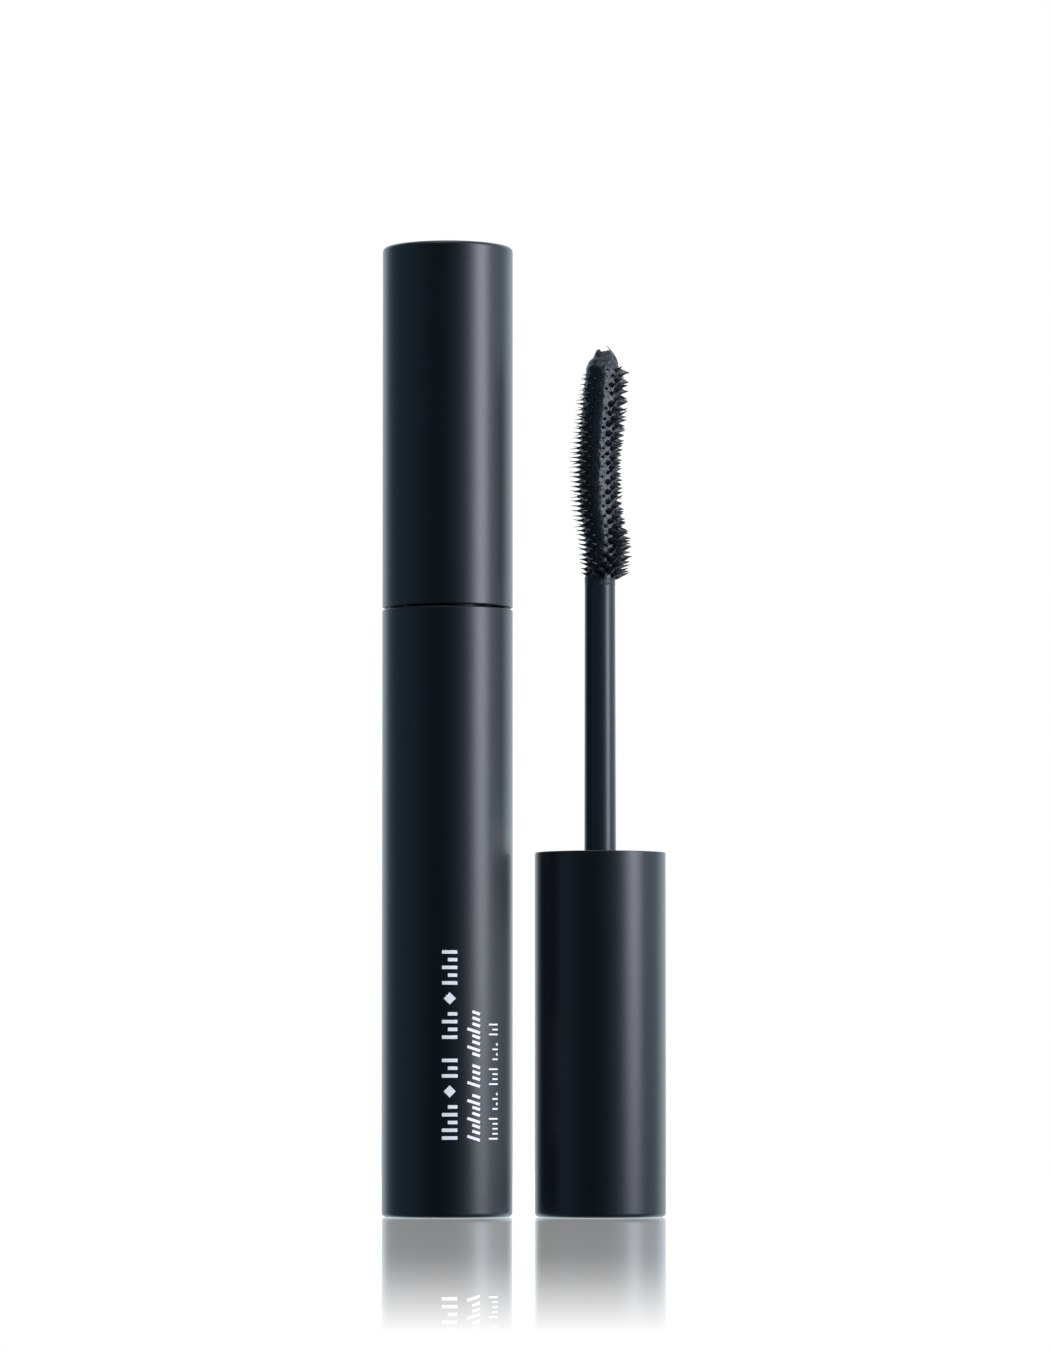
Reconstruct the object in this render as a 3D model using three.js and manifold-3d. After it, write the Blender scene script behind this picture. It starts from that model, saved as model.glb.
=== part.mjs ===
// A mascara: a closed tube with its screw cap and applicator, and a second applicator that stands on
// its cap beside it. Millimetres, +Z up, origin at the centre of the tube's base.
// Every radial size is worked inwards from the tube's diameter, and every length of the wand is worked
// from the bottle it reaches into.
import * as THREE from "three";
import { mergeVertices } from "three/addons/utils/BufferGeometryUtils.js";
import Module from "manifold-3d";

const wasm = await Module();
wasm.setup();

// Outside
const tubeDiameter = 16;
const bottleHeight = 74.1; // base to the rim of the sleeve
const capHeight = 44.4; // rim to the flat top
const displayGap = 2.7; // between the tube and the standing applicator

// Shells of the bottle and the cap
const shellWall = 0.9;
const endWall = 1.2; // base of the bottle, top of the cap
const endRadius = 0.5; // rounded edge of the base and of the cap's top
const rimChamfer = 0.15; // broken edge at the seam

// Inner bottle
const reservoirWall = 1.0;
const reservoirFloorWall = 1.2;
const cornerCut = 0.8; // chamfer at the foot of the reservoir
const shoulderDrop = 0.5; // shoulder below the sleeve's rim
const shoulderThickness = 1.6;
const neckHeight = 12.5; // above the sleeve's rim
const neckWall = 1.0;
const neckLandHeight = 1.6; // plain collar at the foot of the neck
const neckLandStep = 0.3;
const neckChamfer = 0.3;
const neckCone = 2.0; // height over which the neck's bore opens out

// Screw thread, right-handed, on the neck and in the inner cap
const threadPitch = 2.4;
const threadTurns = 1.5;
const threadDepth = 0.55;
const threadWidth = 1.2; // at the root
const threadCrest = 0.5; // width at the crest
const threadStart = 2.6; // from the mouth to the middle of the first turn
const threadRoot = 0.3; // how far the ridge reaches into its wall
const threadFade = 0.12; // share of the ridge over which each end dies away

// Wiper
const wiperWall = 0.5;
const wiperLength = 11;
const wiperFunnel = 4.5; // height of its conical end
const wiperFlange = 0.6; // thickness of the flange over the neck
const flangeInset = 0.3; // flange inside the neck's outer wall
const lipThickness = 0.45;

// Inner cap
const innerCapWall = 0.6;
const skirtRecess = 0.8; // skirt inside the cap's rim
const webThickness = 1.2;
const towerHeight = 7; // socket that grips the rod
const towerWall = 1.1;
const towerEnd = 1.0;

// Applicator
const rodDiameter = 3.95; // at the cap
const rodTipDiameter = 3.75; // at the brush
const rodTipChamfer = 0.25;
const collarThickness = 0.9; // flange of the rod that presses on the wiper
const collarInset = 0.4; // collar inside the wiper's flange
const plugStep = 0.25; // rod's plug over the rod's radius
const plugLength = 6.6;
const brushDiameter = 6.5;
const brushLength = 28;
const brushBow = 0.8; // sideways bow of the brush at its middle
const brushLean = 0.9; // sideways lean of its tip, the other way
const crownDiameter = 3.4; // blunt tip of the brush
const crownHeight = 1.6;
const brushTaper = 4.6; // length of the taper under the crown
const brushFootDiameter = 5.6;
const brushFootRise = 1.8; // height over which the foot widens
const stemDiameter = 1.8; // stem of the brush head, pressed into the rod
const stemLength = 7;
const tipClearance = 10; // brush tip above the reservoir's floor

// Clearances
const seamGap = 0.3; // between the sleeve's rim and the cap's
const sleeveGap = 0.35; // between the reservoir and the sleeve
const pressGap = 0.15; // round a piece that is pressed in
const seatGap = 0.2; // under a piece that rests on another
const baseGap = 0.3; // under the reservoir
const threadGap = 0.15; // between the crests of the two threads
const lipGap = 0.12; // between the wiper's lip and the rod

// Facets round each turned piece
const shellFacets = 48;
const innerFacets = 36;
const rodFacets = 24;
const bendStep = 2; // between the rings of a bowed piece

// Radii, worked inwards from the tube
const shellRadius = tubeDiameter / 2;
const shellBore = shellRadius - shellWall;
const innerCapRadius = shellBore - pressGap;
const innerCapBore = innerCapRadius - innerCapWall;
const neckCrest = innerCapBore - threadDepth - threadGap;
const neckRadius = neckCrest - threadDepth;
const neckBore = neckRadius - neckWall;
const wiperRadius = neckBore - pressGap;
const wiperBore = wiperRadius - wiperWall;
const flangeRadius = neckRadius - flangeInset;
const rodRadius = rodDiameter / 2;
const lipRadius = rodRadius + lipGap;
const plugRadius = rodRadius + plugStep;
const towerBore = plugRadius + pressGap;
const stemRadius = stemDiameter / 2;

// Heights in the bottle
const reservoirFoot = endWall + baseGap;
const reservoirFloor = reservoirFoot + reservoirFloorWall;
const shoulderTop = bottleHeight - shoulderDrop;
const shoulderFoot = shoulderTop - shoulderThickness;
const neckTop = bottleHeight + neckHeight;

// Heights in the applicator, from the cap's flat top towards the brush
const closedHeight = bottleHeight + seamGap + capHeight;
const neckEnd = closedHeight - neckTop; // where the neck's mouth comes to
const collarTop = neckEnd - seatGap - wiperFlange - seatGap;
const collarFoot = collarTop - collarThickness;
const webTop = collarFoot - seatGap;
const webFoot = webTop - webThickness;
const towerFoot = webFoot - towerHeight;
const plugFoot = collarFoot - plugLength;
const wandLength = bottleHeight + seamGap - reservoirFloor - tipClearance;
const brushTip = capHeight + wandLength;
const rodTip = brushTip - brushLength;

// A turned solid: its outline of [radius, height] points goes anticlockwise round its material.
function turned(outline, facets) {
  const points = outline.map(([radius, height]) => new THREE.Vector2(radius, height));
  return new THREE.LatheGeometry(points, facets).rotateX(Math.PI / 2);
}

// A quarter round from the foot of an outer edge up to its wall.
function roundedEdge(radius, corner, steps) {
  return Array.from({ length: steps + 1 }, (_, i) => {
    const angle = (i / steps) * (Math.PI / 2);
    return [radius - corner + corner * Math.sin(angle), corner - corner * Math.cos(angle)];
  });
}

// Heights from one end to the other, close enough together for a bowed piece.
function rings(from, to) {
  const count = Math.ceil(Math.abs(to - from) / bendStep);
  return Array.from({ length: count + 1 }, (_, i) => from + ((to - from) * i) / count);
}

// Sideways place of the brush's middle at a height of the applicator.
function bowAt(height) {
  const along = Math.max(0, (height - rodTip) / brushLength);
  return brushLean * along * along - brushBow * Math.sin(Math.PI * along);
}

function bowed(geometry) {
  const position = geometry.attributes.position;
  for (let i = 0; i < position.count; i++) {
    position.setX(i, position.getX(i) + bowAt(position.getZ(i)));
  }
  return geometry;
}

function solidOf(geometry) {
  geometry.deleteAttribute("normal");
  geometry.deleteAttribute("uv");
  const merged = mergeVertices(geometry, 1e-4);
  const triVerts = new Uint32Array(merged.index.array);
  const vertProperties = merged.attributes.position.array;
  return new wasm.Manifold(new wasm.Mesh({ numProp: 3, vertProperties, triVerts }));
}

function joined(first, second) {
  const mesh = solidOf(first).add(solidOf(second)).getMesh();
  const geometry = new THREE.BufferGeometry();
  geometry.setAttribute("position", new THREE.BufferAttribute(mesh.vertProperties, 3));
  geometry.setIndex(new THREE.BufferAttribute(mesh.triVerts, 1));
  geometry.computeVertexNormals();
  return geometry;
}

// A right-hand ridge wound on a wall: outwards and downwards from its start when side is 1,
// inwards and upwards when side is -1. Each end dies away into the wall.
function threadRidge(wallRadius, start, side) {
  const root = threadWidth / 2;
  const crest = threadCrest / 2;
  const section = new THREE.Shape([
    new THREE.Vector2(-threadRoot, -root),
    new THREE.Vector2(threadDepth, -crest),
    new THREE.Vector2(threadDepth, crest),
    new THREE.Vector2(-threadRoot, root),
  ]);
  const steps = Math.round(threadTurns * innerFacets);
  const geometry = new THREE.ExtrudeGeometry(section, { depth: 1, steps, bevelEnabled: false });
  const position = geometry.attributes.position;
  for (let i = 0; i < position.count; i++) {
    const along = position.getZ(i);
    const fade = Math.min(1, along / threadFade, (1 - along) / threadFade);
    const buried = -threadRoot / 2;
    const reach = position.getX(i) > 0 ? buried + (threadDepth - buried) * fade : -threadRoot;
    const radius = wallRadius + side * reach;
    const turn = -side * threadTurns * along;
    const angle = turn * 2 * Math.PI;
    const height = start + position.getY(i) + turn * threadPitch;
    position.setXYZ(i, radius * Math.cos(angle), radius * Math.sin(angle), height);
  }
  return geometry;
}

// A round cup with a flat closed foot: the bottle's sleeve and, the same way up, a standing cap.
function shell(height) {
  return turned([
    [0, 0],
    ...roundedEdge(shellRadius, endRadius, 3),
    [shellRadius, height - rimChamfer],
    [shellRadius - rimChamfer, height],
    [shellBore, height],
    [shellBore, endWall],
    [0, endWall],
  ], shellFacets);
}

function innerBottle() {
  const radius = shellBore - sleeveGap;
  const bore = radius - reservoirWall;
  const landTop = shoulderTop + neckLandHeight;
  const body = turned([
    [0, reservoirFoot],
    [radius - cornerCut, reservoirFoot],
    [radius, reservoirFoot + cornerCut],
    [radius, shoulderFoot],
    [shellBore - pressGap, shoulderFoot],
    [shellBore - pressGap, shoulderTop],
    [neckRadius + neckLandStep, shoulderTop],
    [neckRadius + neckLandStep, landTop],
    [neckRadius, landTop],
    [neckRadius, neckTop - neckChamfer],
    [neckRadius - neckChamfer, neckTop],
    [neckBore, neckTop],
    [neckBore, shoulderFoot],
    [bore, shoulderFoot - neckCone],
    [bore, reservoirFloor + cornerCut],
    [bore - cornerCut, reservoirFloor],
    [0, reservoirFloor],
  ], innerFacets);
  return joined(body, threadRidge(neckRadius, neckTop - threadStart, 1));
}

function wiper() {
  const flangeFoot = neckTop + seatGap;
  const lipFoot = neckTop - wiperLength;
  const funnelTop = lipFoot + wiperFunnel;
  return turned([
    [lipRadius, lipFoot],
    [lipRadius + lipThickness, lipFoot],
    [wiperRadius, funnelTop],
    [wiperRadius, flangeFoot],
    [flangeRadius, flangeFoot],
    [flangeRadius, flangeFoot + wiperFlange],
    [wiperBore, flangeFoot + wiperFlange],
    [wiperBore, funnelTop],
    [lipRadius, lipFoot + lipThickness],
    [lipRadius, lipFoot],
  ], innerFacets);
}

function innerCap() {
  const skirtTop = capHeight - skirtRecess;
  const towerRadius = towerBore + towerWall;
  const body = turned([
    [0, towerFoot],
    [towerRadius, towerFoot],
    [towerRadius, webFoot],
    [innerCapRadius, webFoot],
    [innerCapRadius, skirtTop],
    [innerCapBore, skirtTop],
    [innerCapBore, webTop],
    [towerBore, webTop],
    [towerBore, towerFoot + towerEnd],
    [0, towerFoot + towerEnd],
  ], innerFacets);
  // its turns lie halfway between those of the neck
  const start = neckEnd + threadStart + threadPitch / 2;
  return joined(body, threadRidge(innerCapBore, start, -1));
}

function rod() {
  const collarRadius = flangeRadius - collarInset;
  const tipRadius = rodTipDiameter / 2;
  const socketRadius = stemRadius + pressGap;
  return turned([
    [0, plugFoot],
    [plugRadius, plugFoot],
    [plugRadius, collarFoot],
    [collarRadius, collarFoot],
    [collarRadius, collarTop],
    [rodRadius, collarTop],
    [tipRadius, rodTip - rodTipChamfer],
    [tipRadius - rodTipChamfer, rodTip],
    [socketRadius, rodTip],
    [socketRadius, rodTip - stemLength - seatGap],
    [0, rodTip - stemLength - seatGap],
  ], rodFacets);
}

// The moulded head: a stem in the rod, and the bristles with their core as one closed envelope.
function brushHead() {
  const radius = brushDiameter / 2;
  const foot = rodTip + seatGap;
  const crownFoot = brushTip - crownHeight;
  return bowed(turned([
    [0, rodTip - stemLength],
    [stemRadius, rodTip - stemLength],
    [stemRadius, foot],
    [brushFootDiameter / 2, foot],
    ...rings(foot + brushFootRise, crownFoot - brushTaper).map((height) => [radius, height]),
    [(radius + crownDiameter / 2) / 2, crownFoot - crownHeight / 4],
    [crownDiameter / 2, crownFoot],
    [crownDiameter / 2, brushTip],
    [0, brushTip],
  ], rodFacets));
}

const lacquer = new THREE.MeshStandardMaterial({ color: 0x161d24, roughness: 0.45, metalness: 0 });
const blackPlastic = new THREE.MeshStandardMaterial({ color: 0x15171a, roughness: 0.5, metalness: 0 });
const softPlastic = new THREE.MeshStandardMaterial({ color: 0xc9c9c4, roughness: 0.6, metalness: 0 });
const rodPlastic = new THREE.MeshStandardMaterial({ color: 0x17191d, roughness: 0.3, metalness: 0 });
const elastomer = new THREE.MeshStandardMaterial({ color: 0x14161b, roughness: 0.6, metalness: 0 });

function piece(name, geometry, material) {
  const mesh = new THREE.Mesh(geometry, material);
  mesh.name = name;
  return mesh;
}

// Cap, rod and brush, standing on the cap's flat top.
function applicator(prefix) {
  const group = new THREE.Group();
  group.add(
    piece(prefix + "outer_cap", shell(capHeight), lacquer),
    piece(prefix + "inner_cap", innerCap(), blackPlastic),
    piece(prefix + "rod", rod(), rodPlastic),
    piece(prefix + "brush_head", brushHead(), elastomer),
  );
  return group;
}

const group = new THREE.Group();
group.add(
  piece("outer_bottle", shell(bottleHeight), lacquer),
  piece("inner_bottle", innerBottle(), blackPlastic),
  piece("wiper", wiper(), softPlastic),
);

// In the tube the applicator hangs from its cap, brush down.
const closed = applicator("");
closed.rotation.x = Math.PI;
closed.position.z = closedHeight;
group.add(closed);

const standing = applicator("display_");
standing.position.x = tubeDiameter + displayGap;
group.add(standing);

export default group;
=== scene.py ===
import math
import random

import bpy
from mathutils import Matrix, Vector


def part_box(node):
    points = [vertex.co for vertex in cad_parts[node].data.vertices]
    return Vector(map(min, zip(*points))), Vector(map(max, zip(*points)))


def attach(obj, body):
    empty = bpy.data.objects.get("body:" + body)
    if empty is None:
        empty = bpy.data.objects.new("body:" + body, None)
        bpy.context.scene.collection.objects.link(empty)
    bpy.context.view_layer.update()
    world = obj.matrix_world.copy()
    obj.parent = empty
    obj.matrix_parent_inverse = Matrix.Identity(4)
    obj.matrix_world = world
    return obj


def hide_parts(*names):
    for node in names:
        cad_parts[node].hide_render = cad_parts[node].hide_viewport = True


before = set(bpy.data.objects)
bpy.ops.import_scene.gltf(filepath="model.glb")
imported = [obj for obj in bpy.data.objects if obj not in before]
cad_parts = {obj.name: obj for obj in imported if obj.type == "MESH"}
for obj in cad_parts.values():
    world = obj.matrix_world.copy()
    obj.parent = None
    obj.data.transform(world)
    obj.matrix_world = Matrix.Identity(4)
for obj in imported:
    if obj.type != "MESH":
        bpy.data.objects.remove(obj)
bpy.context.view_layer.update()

mm = 0.001


def spanOf(node):        # lowest and highest corners in millimetres
    low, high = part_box(node)
    return Vector(low) / mm, Vector(high) / mm


bottleHigh = spanOf("outer_bottle")[1]
standLow, standHigh = spanOf("display_outer_cap")
tubeRadius = bottleHigh.x
bottleHeight = bottleHigh.z
capHeight = standHigh.z
standX = (standLow.x + standHigh.x) / 2         # axis of the standing applicator
closedHeight = spanOf("outer_cap")[1].z         # the closed applicator is the standing one turned over


def deselectAll():
    if bpy.context.object and bpy.context.object.mode == "EDIT":
        bpy.ops.object.mode_set(mode="OBJECT")
    bpy.ops.object.select_all(action="DESELECT")


def pick(*pieces):
    deselectAll()
    for piece in pieces:
        piece.select_set(True)
    bpy.context.view_layer.objects.active = pieces[0]


def settle(piece, name):
    pick(piece)
    bpy.ops.object.transform_apply(location=True, rotation=True, scale=True)
    piece.name = name
    piece.data.name = name
    return piece


def copyOf(piece, name):
    twin = piece.copy()
    twin.data = piece.data.copy()
    bpy.context.scene.collection.objects.link(twin)
    twin.name = name
    twin.data.name = name
    return twin


def selectPoints(piece, test):       # leaves the piece in edit mode with those points selected
    pick(piece)
    bpy.ops.object.mode_set(mode="EDIT")
    bpy.ops.mesh.select_mode(type="VERT")
    bpy.ops.mesh.select_all(action="DESELECT")
    bpy.ops.object.mode_set(mode="OBJECT")
    for point in piece.data.vertices:
        point.select = test(point.co / mm)
    bpy.ops.object.mode_set(mode="EDIT")


def applyModifier(piece, kind, settings):
    pick(piece)
    modifier = piece.modifiers.new(kind.lower(), kind)
    for key, value in settings.items():
        setattr(modifier, key, value)
    bpy.ops.object.modifier_apply(modifier=modifier.name)


# colours and nodes

def hexColor(text):
    channels = [int(text[i:i + 2], 16) / 255 for i in (1, 3, 5)]
    linear = [c / 12.92 if c <= 0.04045 else ((c + 0.055) / 1.055) ** 2.4 for c in channels]
    return (*linear, 1.0)


def addNode(tree, kind, settings=None, links=None):
    node = tree.nodes.new(kind)
    for key, value in (settings or {}).items():
        if isinstance(key, int) or key in node.inputs:
            node.inputs[key].default_value = value
        else:
            setattr(node, key, value)
    for key, source in (links or {}).items():
        tree.links.new(source, node.inputs[key])
    return node


# camera

camera = {
    "place": (9.5 * mm, -744 * mm, 18 * mm),
    "pitch": 3.70,            # degrees above level
    "lens": 162.05,
    "frame": 36,              # width of the picture in the camera, in the lens's millimetres
    "near": 0.01,             # what it sees, in metres
    "far": 20,
}

bpy.ops.object.camera_add(location=camera["place"], rotation=(math.radians(90 + camera["pitch"]), 0, 0))
eye = bpy.context.object
eye.name = "camera"
eye.data.lens = camera["lens"]
eye.data.sensor_width = camera["frame"]
eye.data.clip_start = camera["near"]
eye.data.clip_end = camera["far"]
bpy.context.scene.camera = eye
bpy.context.scene.view_settings.view_transform = "Standard"
print("camera placed")


# studio: a white sweep behind, black flags in front, a tall softbox to the right and three smaller cards

floorPlate = {
    "radius": 3.0,            # metres
    "sides": 96,
    "polish": 0.88,           # share of the clear reflection near the tube
    "gain": (1.5, 1.53, 1.56, 1.0),      # brings the highlights up through the pale sheet
    "fadeStart": 0.13,        # metres from the tube
    "fadeEnd": 0.327,
    "fadePower": 2.0,         # above 1 the reflection keeps its strength for longer before it goes
}


def makeFloor():
    deselectAll()
    bpy.ops.mesh.primitive_circle_add(
        vertices=floorPlate["sides"], radius=floorPlate["radius"], fill_type="NGON")
    floor = bpy.context.object
    floor.name = "floor"
    floor.visible_diffuse = False
    floor.visible_glossy = False
    floor.visible_shadow = False
    # polished white acrylic sheet: a clear mirror at a low angle that dies away towards the viewer
    finish = bpy.data.materials.new("acrylic sheet, polished white")
    finish.use_nodes = True
    tree = finish.node_tree
    tree.nodes.clear()
    place = addNode(tree, "ShaderNodeTexCoord")
    reach = addNode(tree, "ShaderNodeVectorMath", {"operation": "LENGTH"}, {0: place.outputs["Object"]})
    gone = addNode(tree, "ShaderNodeMapRange", {
        "From Min": floorPlate["fadeStart"], "From Max": floorPlate["fadeEnd"],
        "To Min": 0.0, "To Max": 1.0}, {"Value": reach.outputs["Value"]})
    curve = addNode(tree, "ShaderNodeMath", {"operation": "POWER", 1: floorPlate["fadePower"]},
                    {0: gone.outputs["Result"]})
    left = addNode(tree, "ShaderNodeMath", {
        "operation": "MULTIPLY_ADD", 1: -floorPlate["polish"], 2: floorPlate["polish"]},
        {0: curve.outputs["Value"]})
    angle = addNode(tree, "ShaderNodeFresnel", {"IOR": 1.5})
    amount = addNode(tree, "ShaderNodeMath", {"operation": "MULTIPLY"},
                     {0: left.outputs["Value"], 1: angle.outputs["Fac"]})
    white = addNode(tree, "ShaderNodeEmission", {"Color": (1, 1, 1, 1), "Strength": 1.0})
    mirror = addNode(tree, "ShaderNodeBsdfGlossy", {"Color": floorPlate["gain"], "Roughness": 0.0})
    mixed = addNode(tree, "ShaderNodeMixShader", None, {
        0: amount.outputs["Value"], 1: white.outputs["Emission"], 2: mirror.outputs["BSDF"]})
    addNode(tree, "ShaderNodeOutputMaterial", None, {"Surface": mixed.outputs["Shader"]})
    floor.data.materials.append(finish)


sweep = {
    "edge": 119,              # degrees round from the viewer where the white sweep behind begins
    "soft": 16,               # degrees over which it sets in
    "lean": 7,                # degrees that it is turned to the left
    "white": 1.55,
    "whiteColor": (0.86, 0.97, 1.0, 1.0),
    "flagEdge": 8,            # degrees round from the viewer that black flags reach
    "flagSoft": 50,
    "room": 0.42,             # dim blue-grey room between the flags and the sweep
    "roomColor": (0.45, 0.72, 1.0, 1.0),
}


def makeSweep():
    world = bpy.data.worlds.new("studio")
    bpy.context.scene.world = world
    world.use_nodes = True
    tree = world.node_tree
    tree.nodes.clear()
    way = addNode(tree, "ShaderNodeTexCoord")
    parts = addNode(tree, "ShaderNodeSeparateXYZ", None, {0: way.outputs["Generated"]})
    front = addNode(tree, "ShaderNodeMath", {"operation": "MULTIPLY", 1: -1.0}, {0: parts.outputs["Y"]})
    azimuth = addNode(tree, "ShaderNodeMath", {"operation": "ARCTAN2"},
                      {0: parts.outputs["X"], 1: front.outputs["Value"]})
    leaned = addNode(tree, "ShaderNodeMath", {"operation": "ADD", 1: math.radians(sweep["lean"])},
                     {0: azimuth.outputs["Value"]})
    aside = addNode(tree, "ShaderNodeMath", {"operation": "ABSOLUTE"}, {0: leaned.outputs["Value"]})
    behind = addNode(tree, "ShaderNodeMapRange", {
        "interpolation_type": "SMOOTHSTEP",
        "From Min": math.radians(sweep["edge"]), "From Max": math.radians(sweep["edge"] + sweep["soft"]),
        "To Min": 0.0, "To Max": sweep["white"]}, {"Value": aside.outputs["Value"]})
    dim = addNode(tree, "ShaderNodeMapRange", {
        "interpolation_type": "SMOOTHSTEP",
        "From Min": math.radians(sweep["flagEdge"]),
        "From Max": math.radians(sweep["flagEdge"] + sweep["flagSoft"]),
        "To Min": 0.0, "To Max": sweep["room"]}, {"Value": aside.outputs["Value"]})
    white = addNode(tree, "ShaderNodeBackground", {"Color": sweep["whiteColor"]},
                    {"Strength": behind.outputs["Result"]})
    room = addNode(tree, "ShaderNodeBackground", {"Color": sweep["roomColor"]},
                   {"Strength": dim.outputs["Result"]})
    light = addNode(tree, "ShaderNodeAddShader", None, {
        0: white.outputs["Background"], 1: room.outputs["Background"]})
    plain = addNode(tree, "ShaderNodeBackground", {"Color": (1, 1, 1, 1), "Strength": 1.0})
    ray = addNode(tree, "ShaderNodeLightPath")
    seen = addNode(tree, "ShaderNodeMath", {"operation": "MAXIMUM"},
                   {0: ray.outputs["Is Camera Ray"], 1: ray.outputs["Is Singular Ray"]})
    mixed = addNode(tree, "ShaderNodeMixShader", None, {
        0: seen.outputs["Value"], 1: light.outputs["Shader"], 2: plain.outputs["Background"]})
    addNode(tree, "ShaderNodeOutputWorld", None, {"Surface": mixed.outputs["Shader"]})


softboxes = {
    "key_softbox": {
        "azimuth": 62,        # degrees round from the viewer, to the right
        "elevation": 0,       # degrees that it is tipped down
        "distance": 0.42,     # metres
        "height": 0.20,       # of its middle
        "width": 0.16,
        "length": 0.38,
        "power": 2.35,
        "color": (0.86, 0.87, 1.0),
    },
    "side_card": {            # a dim white card beyond the key, for the right-hand side
        "azimuth": 97,
        "elevation": 0,
        "distance": 0.42,
        "height": 0.19,
        "width": 0.16,
        "length": 0.38,
        "power": 0.21,
        "color": (0.86, 0.93, 1.0),
    },
    "overhead_box": {         # picks out the upper sides of the bristles
        "azimuth": -10,
        "elevation": 70,
        "distance": 0.17,
        "height": 0.52,
        "width": 0.30,
        "length": 0.20,
        "power": 0.5,
        "color": (0.95, 0.97, 1.0),
    },
    "rim_card": {             # small, low and close, for the right-hand edge of the closed tube alone
        "azimuth": 100,
        "elevation": 0,
        "distance": 0.022,
        "height": 0.0215,
        "width": 0.014,
        "length": 0.043,
        "power": 0.032,
        "color": (0.9, 0.97, 1.0),
    },
}


def makeSoftbox(name, box):
    turn = math.radians(box["azimuth"])
    reach = box["distance"]
    deselectAll()
    bpy.ops.object.light_add(
        type="AREA", location=(reach * math.sin(turn), -reach * math.cos(turn), box["height"]))
    lamp = bpy.context.object
    lamp.name = name
    lamp.data.shape = "RECTANGLE"
    lamp.data.size = box["width"]
    lamp.data.size_y = box["length"]
    lamp.data.energy = box["power"]
    lamp.data.color = box["color"]
    lamp.rotation_euler = (math.radians(90 - box["elevation"]), 0, turn)
    lamp.visible_camera = False


makeFloor()
makeSweep()
for name, box in softboxes.items():
    makeSoftbox(name, box)
print("studio ready")


# finishes

def newFinish(name, settings):
    finish = bpy.data.materials.new(name)
    finish.use_nodes = True
    tree = finish.node_tree
    shader = tree.nodes["Principled BSDF"]
    for key, value in settings.items():
        shader.inputs[key].default_value = value
    place = addNode(tree, "ShaderNodeTexCoord")
    return finish, tree, shader, place.outputs["Object"]


def satinLacquer():
    # ABS sprayed with a satin lacquer: a blue-black ground, a wide soft highlight with a very fine grain
    finish, tree, shader, place = newFinish("ABS, satin lacquer", {"IOR": 1.5})
    cloud = addNode(tree, "ShaderNodeTexNoise", {"Scale": 1 / (9 * mm), "Detail": 2.0}, {"Vector": place})
    tone = addNode(tree, "ShaderNodeMix", {
        "data_type": "RGBA", 6: hexColor("#0c1216"), 7: hexColor("#10171c")}, {0: cloud.outputs["Fac"]})
    tree.links.new(tone.outputs[2], shader.inputs["Base Color"])
    # spray grain is finer than this; it is drawn as coarse as it needs to show
    grain = addNode(tree, "ShaderNodeTexNoise", {"Scale": 1 / (0.16 * mm), "Detail": 1.0}, {"Vector": place})
    gloss = addNode(tree, "ShaderNodeMapRange", {"To Min": 0.33, "To Max": 0.42},
                    {"Value": grain.outputs["Fac"]})
    tree.links.new(gloss.outputs["Result"], shader.inputs["Roughness"])
    bump = addNode(tree, "ShaderNodeBump", {"Strength": 1.0, "Distance": 0.004 * mm},
                   {"Height": grain.outputs["Fac"]})
    tree.links.new(bump.outputs["Normal"], shader.inputs["Normal"])
    return finish


def blackPolypropylene():
    # polypropylene as moulded: black, low gloss, with faint flow marks
    finish, tree, shader, place = newFinish("polypropylene, injection moulded", {
        "Base Color": hexColor("#15171a"), "IOR": 1.49})
    flow = addNode(tree, "ShaderNodeTexNoise", {"Scale": 1 / (2.5 * mm), "Detail": 3.0, "Distortion": 1.2},
                   {"Vector": place})
    gloss = addNode(tree, "ShaderNodeMapRange", {"To Min": 0.28, "To Max": 0.48},
                    {"Value": flow.outputs["Fac"]})
    tree.links.new(gloss.outputs["Result"], shader.inputs["Roughness"])
    skin = addNode(tree, "ShaderNodeTexNoise", {"Scale": 1 / (0.2 * mm)}, {"Vector": place})
    bump = addNode(tree, "ShaderNodeBump", {"Strength": 1.0, "Distance": 0.004 * mm},
                   {"Height": skin.outputs["Fac"]})
    tree.links.new(bump.outputs["Normal"], shader.inputs["Normal"])
    return finish


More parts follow.
